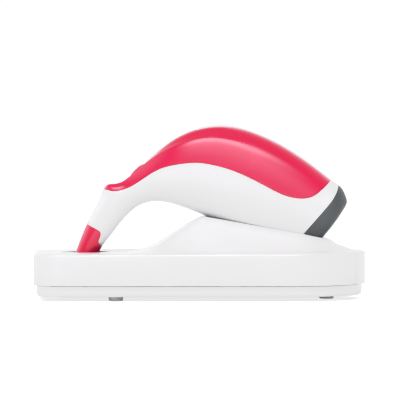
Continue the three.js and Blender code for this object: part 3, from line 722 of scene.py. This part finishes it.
def display():
    """The pane follows the deck's length but is flat across, a little below the opening's rim."""
    patch = HAND.cut(lambda p: -display_distance(p) - EDGE)
    along, across, above = local(patch.points, DISPLAY_CENTRE, DISPLAY_TILT)
    rim = np.abs(np.abs(across) - DISPLAY_HALF[1] + EDGE) < 0.05
    order = np.argsort(along[rim])
    level = np.interp(along, along[rim][order], above[rim][order]) - DISPLAY_DEPTH
    sink = above - level
    up = np.array([math.sin(DISPLAY_TILT), 0, math.cos(DISPLAY_TILT)])
    sunk = Patch(patch.points - up * sink[:, None], np.tile(up, (len(along), 1)), patch.faces)
    points, faces = sunk.shell(1.2, lip_profile(1.2))
    obj = make_object("display_window_pane", points, faces, MATERIALS["glass_black"])
    finish_piece(obj, "handpiece", "glass_black", "display_window")


def button():
    """The button follows the slope of the neck and swells above it."""
    patch = HAND.cut(lambda p: -button_distance(p) - EDGE - 0.1)
    along, across, _ = local(patch.points, BUTTON_CENTRE, BUTTON_TILT)
    ratio = np.hypot(along / BUTTON_HALF[0], across / BUTTON_HALF[1])
    rise = BUTTON_RISE * (1 - ratio**2.4).clip(0)**0.8
    lifted = Patch(patch.points + patch.normals * rise[:, None], patch.normals, patch.faces)
    points, faces = lifted.shell(2.6, lip_profile(2.6, 0.12))
    obj = make_object("measure_button_pad", points, faces, MATERIALS["red_gloss"])
    finish_piece(obj, "measure_button", "red_gloss", "measure_button")


# ---- Base ----

def plan_distance(points, inset=0.0):
    """Distance inside the base's outline from above, after moving it inwards by inset."""
    x, y = points[:, 0], np.abs(points[:, 1])
    half = BASE_WIDTH / 2
    rear = BASE_LENGTH / 2 - half
    corner = np.array([-BASE_LENGTH / 2 + LEFT_CORNER, half - LEFT_CORNER])
    straight = np.minimum(half - y, x + BASE_LENGTH / 2)
    round_end = half - np.hypot(x - rear, y)
    in_corner = (x < corner[0]) & (y > corner[1])
    round_corner = LEFT_CORNER - np.hypot(x - corner[0], y - corner[1])
    inside = np.where(x > rear, round_end, np.where(in_corner, round_corner, straight))
    return inside - inset


SADDLE_LINE = SoftCurve(SADDLE_PROFILE, 0.22)


def saddle_height(x, y):
    half = BASE_WIDTH / 2
    rear = BASE_LENGTH / 2 - half
    reach = np.sqrt(np.maximum(half**2 - np.maximum(x - rear, 0)**2, 1)) - SADDLE_MARGIN
    t = np.clip((np.abs(y) - SADDLE_FLAT) / np.maximum(reach - SADDLE_FLAT, 1), 0, 1)
    ridge = np.interp(x, SADDLE_LINE.value[:, 0], SADDLE_LINE.value[:, 1])
    ridge = np.where((x > SADDLE_PROFILE[0][0]) & (x < SADDLE_PROFILE[-1][0]), np.maximum(ridge, 0), 0)
    return ridge * (0.5 + 0.5 * np.cos(math.pi * t))**1.1


FIRST_DOCKED = 9  # the station from which the handpiece can touch the base
DOCK_HALF_WIDTH = 25
DOCK_FRONT, DOCK_REAR = -25, 90
FAR_ABOVE = 200.0  # height that stands for no handpiece overhead


def trough_field(xs, ys):
    """Height of the underside of the docked handpiece, with its clearance, over a grid."""
    first = FIRST_DOCKED * ROWS_PER_STATION
    i, j = np.meshgrid(np.arange(first, HAND_ROWS), np.arange(HAND_COLUMNS), indexing="ij")
    i, j = i.astype(float), j.astype(float)
    skin = hand_grid(i, j) + HAND.normals(i, j) * DOCK_CLEARANCE
    skin[-1] = skin[-2].mean(0)
    rows, columns = i.shape
    corners = [tuple(p) for p in skin.reshape(-1, 3)]
    quads = [tuple(q) for q in grid_quads(rows, columns, closed=True).tolist()]
    tree = BVHTree.FromPolygons(corners, quads)
    field = np.full((len(xs), len(ys)), FAR_ABOVE)
    for m, x in enumerate(xs):
        for n, y in enumerate(ys):
            if abs(y) < DOCK_HALF_WIDTH and DOCK_FRONT < x < DOCK_REAR:
                hit = tree.ray_cast(Vector((x, y, 0)), Vector((0, 0, 1)))[0]
                if hit is not None:
                    field[m, n] = hit.z
    return field


def soft_min(a, b, blend):
    gap = np.clip(0.5 + 0.5 * (b - a) / blend, 0, 1)
    return b + (a - b) * gap - blend * gap * (1 - gap)


TOP_CELL = 0.8
TOP_XS = np.arange(-BASE_LENGTH / 2 - 1, BASE_LENGTH / 2 + 1 + TOP_CELL, TOP_CELL)
TOP_YS = np.arange(-BASE_WIDTH / 2 - 1, BASE_WIDTH / 2 + 1 + TOP_CELL, TOP_CELL)


def grid_lookup(field, i, j):
    """Smooth reading of a grid of heights between its points."""
    i0 = np.clip(np.floor(i).astype(int), 0, field.shape[0] - 2)
    j0 = np.clip(np.floor(j).astype(int), 0, field.shape[1] - 2)
    f, g = np.clip(i - i0, 0, 1), np.clip(j - j0, 0, 1)
    low = field[i0, j0] * (1 - f) + field[i0 + 1, j0] * f
    high = field[i0, j0 + 1] * (1 - f) + field[i0 + 1, j0 + 1] * f
    return low * (1 - g) + high * g


def base_housing():
    trough = trough_field(TOP_XS, TOP_YS)
    grid_x, grid_y = np.meshgrid(TOP_XS, TOP_YS, indexing="ij")
    plain = BASE_TOP + TOP_SLOPE * grid_x
    heights = soft_min(plain + saddle_height(grid_x, grid_y), trough, RIM_BLEND)

    def surface(i, j):
        x = TOP_XS[0] + TOP_CELL * i
        y = TOP_YS[0] + TOP_CELL * j
        return np.stack([x, y, grid_lookup(heights, i, j)], axis=-1)

    def region(points):
        well = np.hypot(points[:, 0] - WELL_CENTRE, points[:, 1]) - WELL_RADIUS - 0.12
        return np.minimum(plan_distance(points) - BASE_ROUND, well - 0.3)

    def profile(loop):
        if np.ptp(loop[:, 0]) > OUTLINE_SPAN:
            depth = loop[:, 2:] - SKIRT_BOTTOM
            inner = BASE_ROUND - EDGE_ROUND
            foot = [
                (inner + EDGE_ROUND * math.cos(a), depth - EDGE_ROUND + EDGE_ROUND * math.sin(a))
                for a in (0, 0.5, 1.1, math.pi / 2)
            ]
            inside = BASE_ROUND - BASE_WALL
            return quarter_round(BASE_ROUND, 6) + foot + [(inside, depth), (inside, BASE_WALL + 1)]
        return quarter_round(EDGE_ROUND) + [(EDGE_ROUND, COLLAR_DEPTH), (-1.2, COLLAR_DEPTH)]

    sheet = Sheet(surface, len(TOP_XS), len(TOP_YS), closed=False)
    patch = sheet.cut(region)
    points, faces = patch.shell(BASE_WALL, profile)
    obj = make_object("base_housing_skin", points, faces, MATERIALS["white_gloss"])
    bore_socket(obj)
    finish_piece(obj, "base", "white_gloss", "base_housing")


def bore_socket(obj):
    """Cuts the power socket's round opening, flared at its mouth, through the back wall."""
    face = BASE_WIDTH / 2
    wide = SOCKET_RADIUS + SOCKET_FLARE
    inner, outer = BORE_SPAN
    profile = [(0, inner), (SOCKET_RADIUS, inner), (SOCKET_RADIUS, face - SOCKET_FLARE)]
    profile += [(wide, face), (wide, outer), (0, outer)]
    points, faces = turned(profile, 48)
    points = np.stack([points[:, 0] + SOCKET_X, points[:, 2], SOCKET_Z - points[:, 1]], axis=-1)
    cutter = make_object("socket_cutter", points, faces, MATERIALS["white_gloss"])
    bore = obj.modifiers.new("socket", "BOOLEAN")
    bore.operation = "DIFFERENCE"
    bore.solver = "EXACT"
    bore.object = cutter
    shaped = bpy.data.meshes.new_from_object(obj.evaluated_get(bpy.context.evaluated_depsgraph_get()))
    obj.modifiers.clear()
    obj.data = shaped
    bpy.data.objects.remove(cutter)


def base_tray():
    """The tray is a flat sheet facing down with a rounded edge that rises to the skirt."""
    cell = 1.2
    columns = int(BASE_WIDTH / cell) + 2
    rows = int(BASE_LENGTH / cell) + 2

    def surface(i, j):
        x = -BASE_LENGTH / 2 + cell * i
        y = -BASE_WIDTH / 2 + cell * j
        return np.stack([x, y, np.full(np.shape(x), float(TRAY_BOTTOM))], axis=-1)

    def region(points):
        holes = [np.hypot(points[:, 0] - x, points[:, 1] - y) - 3.5 for x, y in SCREW_SPOTS]
        return np.minimum.reduce([plan_distance(points) - TRAY_INSET - TRAY_ROUND] + holes)

    def profile(loop):
        if np.ptp(loop[:, 0]) > OUTLINE_SPAN:
            height = SKIRT_BOTTOM - 0.3 - TRAY_BOTTOM
            return quarter_round(TRAY_ROUND, 7) + [(TRAY_ROUND, height), (TRAY_ROUND - 2, height)]
        return quarter_round(EDGE_ROUND) + [(EDGE_ROUND, 2.6)]

    patch = Sheet(surface, rows, columns, closed=False, flip=True).cut(region)
    points, faces = patch.shell(1.8, profile)
    obj = make_object("base_tray_skin", points, faces, MATERIALS["white_gloss"])
    finish_piece(obj, "base", "white_gloss", "base_tray")


# ---- Turned pieces ----

def turned(profile, segments=72, lobes=None):
    """A solid of rings about +Z. The profile starts and ends on the axis, or closes on itself."""
    closed = profile[0] == profile[-1]
    rings = profile[:-1] if closed else profile
    points, rows = [], []
    for r, z in rings:
        if r == 0:
            rows.append([len(points)] * segments)
            points.append((0, 0, z))
            continue
        rows.append(list(range(len(points), len(points) + segments)))
        for k in range(segments):
            angle = 2 * math.pi * k / segments
            scale = 1 + (lobes[2] * math.cos(lobes[1] * angle) if lobes and r <= lobes[0] else 0)
            points.append((r * scale * math.cos(angle), r * scale * math.sin(angle), z))
    faces = []
    pairs = list(zip(rows, rows[1:])) + ([(rows[-1], rows[0])] if closed else [])
    for low, high in pairs:
        for k in range(segments):
            m = (k + 1) % segments
            face = [low[k], low[m], high[m], high[k]]
            faces.append(list(dict.fromkeys(face)))
    return np.array(points, dtype=float), faces


def tilted(points, lean, place):
    c, s = math.cos(lean), math.sin(lean)
    x, y, z = points.T
    return np.stack([x * c + z * s + place[0], y + place[1], -x * s + z * c + place[2]], axis=-1)


def rounded(r, z, radius, start, steps=4):
    """Points of a quarter circle about (r, z), starting at an angle given in degrees."""
    angles = [math.radians(start + 90 * k / steps) for k in range(steps + 1)]
    return [(r + radius * math.cos(a), z + radius * math.sin(a)) for a in angles]


TIP_PLACE = (TIP_END[0], 0, TIP_END[1])


def turned_piece(name, profile, lean, place, body, slot, node, segments=72, lobes=None):
    points, faces = turned(profile, segments, lobes)
    obj = make_object(name, tilted(points, lean, place), faces, MATERIALS[slot])
    finish_piece(obj, body, slot, node)


def tip_piece(name, profile, body, slot, node):
    """A turned piece about the axis of the tip, its heights measured from the tip's end."""
    turned_piece(name, profile, TIP_LEAN, TIP_PLACE, body, slot, node)


def feet():
    for k in (1, 2, 3):
        low, high = (np.array(c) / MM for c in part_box(f"foot_{k}"))
        radius = (high[0] - low[0]) / 2
        top = high[2]
        profile = [(0, 0.25), (radius - 1.4, 0.25), (radius - 1.1, 0)]
        profile += rounded(radius - 0.6, 0.6, 0.6, -90) + [(radius, top), (0, top)]
        place = ((low[0] + high[0]) / 2, (low[1] + high[1]) / 2, 0)
        turned_piece(f"foot_{k}_pad", profile, 0, place, "base", "rubber", f"foot_{k}")


DRIVE_LOBES = (1.11, 6, 0.16)  # the screw's drive: radius up to which it reaches, lobes, their depth


def tray_screws():
    for k, (x, y) in enumerate(SCREW_SPOTS, 1):
        low, high = (np.array(c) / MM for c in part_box(f"tray_screw_{k}"))
        head = low[2]
        profile = [(0, head + 1.0), (1.1, head + 1.0), (1.1, head + 0.05), (1.3, head)]
        profile += rounded(2.4, head + 0.4, 0.4, -90)
        profile += [(2.8, head + 1.6), (1.4, head + 1.7), (1.4, high[2]), (0, high[2])]
        name = f"tray_screw_{k}"
        turned_piece(name + "_head", profile, 0, (x, y, 0), "base", "steel", name, 48, DRIVE_LOBES)


def probe():
    tube = [(2.5, 0.3), (2.8, 0)] + rounded(3.2, 0.4, 0.4, -90) + [(3.6, 17), (2.5, 17), (2.5, 0.3)]
    tip_piece("probe_tube_bar", tube, "handpiece", "steel", "probe_tube")
    lens = [(0, 0.25), (2.0, 0.25), (2.2, 0.45), (2.2, 1.2), (0, 1.2)]
    tip_piece("probe_window_lens", lens, "handpiece", "glass_black", "probe_window")


def calibration():
    tile = [(0, -2.8), (5.8, -2.8), (6, -2.6)] + rounded(5.6, -1.0, 0.4, 0) + [(0, -0.6)]
    tip_piece("calibration_tile_disc", tile, "tile_carrier", "ceramic", "calibration_tile")
    cup = [(0, -5.5), (7.1, -5.5), (7.5, -5.1)] + rounded(7.2, -1.2, 0.3, 0)
    cup += rounded(6.6, -1.2, 0.3, 90) + [(6.3, -2.9), (0, -2.9)]
    tip_piece("tile_carrier_cup", cup, "tile_carrier", "dark_plastic", "tile_carrier")


def well_insert():
    """A flush plate around the tip whose funnel leans with the tip and narrows to a lip."""
    segments = 96
    angles = 2 * math.pi * np.arange(segments) / segments
    lean = np.array([math.sin(TIP_LEAN), 0, math.cos(TIP_LEAN)])
    side = np.array([math.cos(TIP_LEAN), 0, -math.sin(TIP_LEAN)])
    origin = np.array(TIP_PLACE, dtype=float)
    plate = BASE_TOP + TOP_SLOPE * WELL_CENTRE - 0.15

    spoke = np.cos(angles)[:, None] * side + np.sin(angles)[:, None] * np.array([0, 1.0, 0])

    def upright(radius, z):
        level = np.full(segments, z)
        return np.stack([WELL_CENTRE + radius * np.cos(angles), radius * np.sin(angles), level], axis=-1)

    def leaning(radius, height):
        return origin + lean * height + spoke * radius

    def funnel_at(z, extra=0.0):
        """Where the funnel's cone, of radius 7 at the lip and 11 at 16 mm up, meets a level."""
        slope = 4.0 / 16.6
        height = (z - origin[2] - spoke[:, 2] * (7 + 0.6 * slope + extra)) / (lean[2] + spoke[:, 2] * slope)
        radius = 7 + slope * (height + 0.6) + extra
        return origin + lean * height[:, None] + spoke * radius[:, None]

    rings = [
        upright(8.4, 19.4), upright(WELL_RADIUS, 19.4), upright(WELL_RADIUS, plate - 0.4),
        upright(WELL_RADIUS - 0.12, plate - 0.12), upright(WELL_RADIUS - 0.4, plate),
        funnel_at(plate, 0.7), funnel_at(plate - 0.15, 0.2), funnel_at(plate - 0.6, 0.0),
        leaning(7.3, 1.2), leaning(7.0, -0.2), leaning(7.0, -0.6), leaning(7.8, -0.6), leaning(7.8, -9.4),
        leaning(0.6, -9.4), leaning(0.6, -10.6), leaning(9, -10.6), leaning(9, 0.5),
    ]
    points = np.concatenate(rings)
    faces = []
    for r in range(len(rings)):
        low, high = r * segments, ((r + 1) % len(rings)) * segments
        for k in range(segments):
            m = (k + 1) % segments
            faces.append([low + k, low + m, high + m, high + k])
    obj = make_object("well_insert_ring", points, faces, MATERIALS["dark_plastic"])
    finish_piece(obj, "base", "dark_plastic", "well_insert")


# ---- Room, light and camera ----

FRAME_WIDTH = 235.294  # millimetres across the picture at the object
CAMERA_RISE = math.radians(1.74)
CAMERA_DISTANCE = 5.0
LOOK_AT = Vector((0.2 * MM, 0, 58.0 * MM))
FLOOR_GLOW = 0.6
FLOOR_NEAR_GLOW = 0.1
FLOOR_SEEN_GLOW = 0.6
FLOOR_REACH = 3.0
TENT_FRONT = 0.2
TENT_WALL = 1.1
TENT_TOP = 0.25
TENT_RIGHT = 0.65  # how much of the wall's light is left on the right
TENT_SEEN = 1.05  # brightness of the backdrop in the picture itself
SOFTBOX = 2.1
SOFTBOX_STRIP = 3.2
SIDE_BOX = 0.8
FILL_PLACE = (-0.3, -0.8, 1.1)
FILL_SIZE = (1.0, 1.0)
FILL_POWER = 3.6
TONE_POINTS = [(0.2, 0.21), (0.4, 0.5), (0.55, 0.72), (0.7, 0.8), (0.88, 0.86), (0.94, 0.92)]


def area_light(name, place, size, power):
    """A soft light that shows in no reflection."""
    light = bpy.data.lights.new(name, "AREA")
    light.shape = "RECTANGLE"
    light.size, light.size_y = size
    light.energy = power
    obj = bpy.data.objects.new(name, light)
    obj.location = place
    obj.rotation_euler = (LOOK_AT - Vector(place)).to_track_quat("-Z", "Y").to_euler()
    obj.visible_camera = False
    obj.visible_glossy = False
    bpy.context.scene.collection.objects.link(obj)


def map_range(tree, source, low, high, start, end):
    node = tree.nodes.new("ShaderNodeMapRange")
    node.interpolation_type = "SMOOTHSTEP"
    for key, value in zip(("From Min", "From Max", "To Min", "To Max"), (low, high, start, end)):
        if isinstance(value, (int, float)):
            node.inputs[key].default_value = value
        else:
            tree.links.new(value, node.inputs[key])
    tree.links.new(source, node.inputs["Value"])
    return node.outputs["Result"]


def math_node(tree, operation, *sources):
    node = tree.nodes.new("ShaderNodeMath")
    node.operation = operation
    for socket, source in zip(node.inputs, sources):
        if isinstance(source, (int, float)):
            socket.default_value = source
        else:
            tree.links.new(source, socket)
    return node.outputs["Value"]


def floor():
    """A white table. The camera sees it evenly lit, so that shadows on it stay faint."""
    n = Nodes("floor_white")
    n.set(Base_Color=n.mix(n.noise(3.0), (0.78, 0.78, 0.78, 1), (0.8, 0.8, 0.8, 1)), Roughness=0.9)
    distance = n.add("ShaderNodeVectorMath", operation="LENGTH")
    n.link(n.place, distance.inputs[0])
    spread = map_range(n.tree, distance.outputs["Value"], 0.06, 0.3, FLOOR_NEAR_GLOW, FLOOR_GLOW)
    seen = n.add("ShaderNodeLightPath").outputs["Is Camera Ray"]
    glow = map_range(n.tree, seen, 0, 1, spread, FLOOR_SEEN_GLOW)
    n.set(Emission_Color=(1, 1, 1, 1), Emission_Strength=glow, Specular_IOR_Level=0.0)
    corners = [(x, y, 0) for x, y in ((-1, -1), (1, -1), (1, 1), (-1, 1))]
    mesh = bpy.data.meshes.new("floor")
    mesh.from_pydata([tuple(FLOOR_REACH * c for c in corner) for corner in corners], [], [(0, 1, 2, 3)])
    mesh.materials.append(n.material)
    obj = bpy.data.objects.new("floor", mesh)
    bpy.context.scene.collection.objects.link(obj)


def tent():
    """A white tent lit by its walls.

    A softbox reaches from the front to high up and ends in a brighter strip. The wall behind is
    bright, a smaller box stands on the left, and the roof and the front are dim.
    """
    world = bpy.data.worlds.new("tent")
    world.use_nodes = True
    tree = world.node_tree
    place = tree.nodes.new("ShaderNodeTexCoord")
    split = tree.nodes.new("ShaderNodeSeparateXYZ")
    tree.links.new(place.outputs["Generated"], split.inputs["Vector"])
    x, y, z = split.outputs
    front = math_node(tree, "MULTIPLY", y, -1.0)
    arch = math_node(tree, "ARCTAN2", z, front)
    broad = map_range(tree, arch, math.radians(-15), math.radians(50), 0, SOFTBOX)
    strip = map_range(tree, arch, math.radians(48), math.radians(62), 0, SOFTBOX_STRIP)
    upper = map_range(tree, arch, math.radians(66), math.radians(80), 1, 0)
    aside = map_range(tree, math_node(tree, "ABSOLUTE", x), 0.3, 0.65, 1, 0)
    reach = math_node(tree, "MULTIPLY", upper, aside)
    box = math_node(tree, "MULTIPLY", math_node(tree, "ADD", broad, strip), reach)
    side = map_range(tree, y, -0.3, 0.2, TENT_FRONT, TENT_WALL)
    fade = map_range(tree, x, 0.3, 0.9, 1, TENT_RIGHT)
    round_wall = math_node(tree, "MULTIPLY", side, fade)
    wall = math_node(tree, "MULTIPLY", round_wall, map_range(tree, z, 0.3, 0.85, 1, TENT_TOP))
    left = map_range(tree, x, -0.9, -0.7, SIDE_BOX, 0)
    left_box = math_node(tree, "MULTIPLY", left, map_range(tree, z, 0.1, 0.4, 0, 1))
    light = math_node(tree, "ADD", wall, math_node(tree, "ADD", box, left_box))
    path = tree.nodes.new("ShaderNodeLightPath")
    seen = tree.nodes.new("ShaderNodeMix")
    tree.links.new(path.outputs["Is Camera Ray"], seen.inputs["Factor"])
    tree.links.new(light, seen.inputs["A"])
    seen.inputs["B"].default_value = TENT_SEEN
    tree.links.new(seen.outputs["Result"], tree.nodes["Background"].inputs["Strength"])
    tree.nodes["Background"].inputs["Color"].default_value = (1, 1, 1, 1)
    bpy.context.scene.world = world


def room():
    floor()
    tent()
    area_light("high_fill", FILL_PLACE, FILL_SIZE, FILL_POWER)


def camera():
    data = bpy.data.cameras.new("camera")
    data.lens = data.sensor_width * CAMERA_DISTANCE / (FRAME_WIDTH * MM)
    data.clip_end = 50
    obj = bpy.data.objects.new("camera", data)
    back = Vector((0, -math.cos(CAMERA_RISE), math.sin(CAMERA_RISE)))
    obj.location = LOOK_AT + back * CAMERA_DISTANCE
    obj.rotation_euler = (-back).to_track_quat("-Z", "Y").to_euler()
    bpy.context.scene.collection.objects.link(obj)
    bpy.context.scene.camera = obj


def tone():
    """The picture's tones: plain colours, with the lighter ones drawn together."""
    view = bpy.context.scene.view_settings
    view.view_transform = "Standard"
    view.use_curve_mapping = True
    curve = view.curve_mapping.curves[3]  # the one for all channels together
    for spot in TONE_POINTS:
        curve.points.new(*spot)
    view.curve_mapping.update()


casing()
display()
button()
base_housing()
base_tray()
feet()
tray_screws()
probe()
calibration()
well_insert()
room()
camera()
tone()
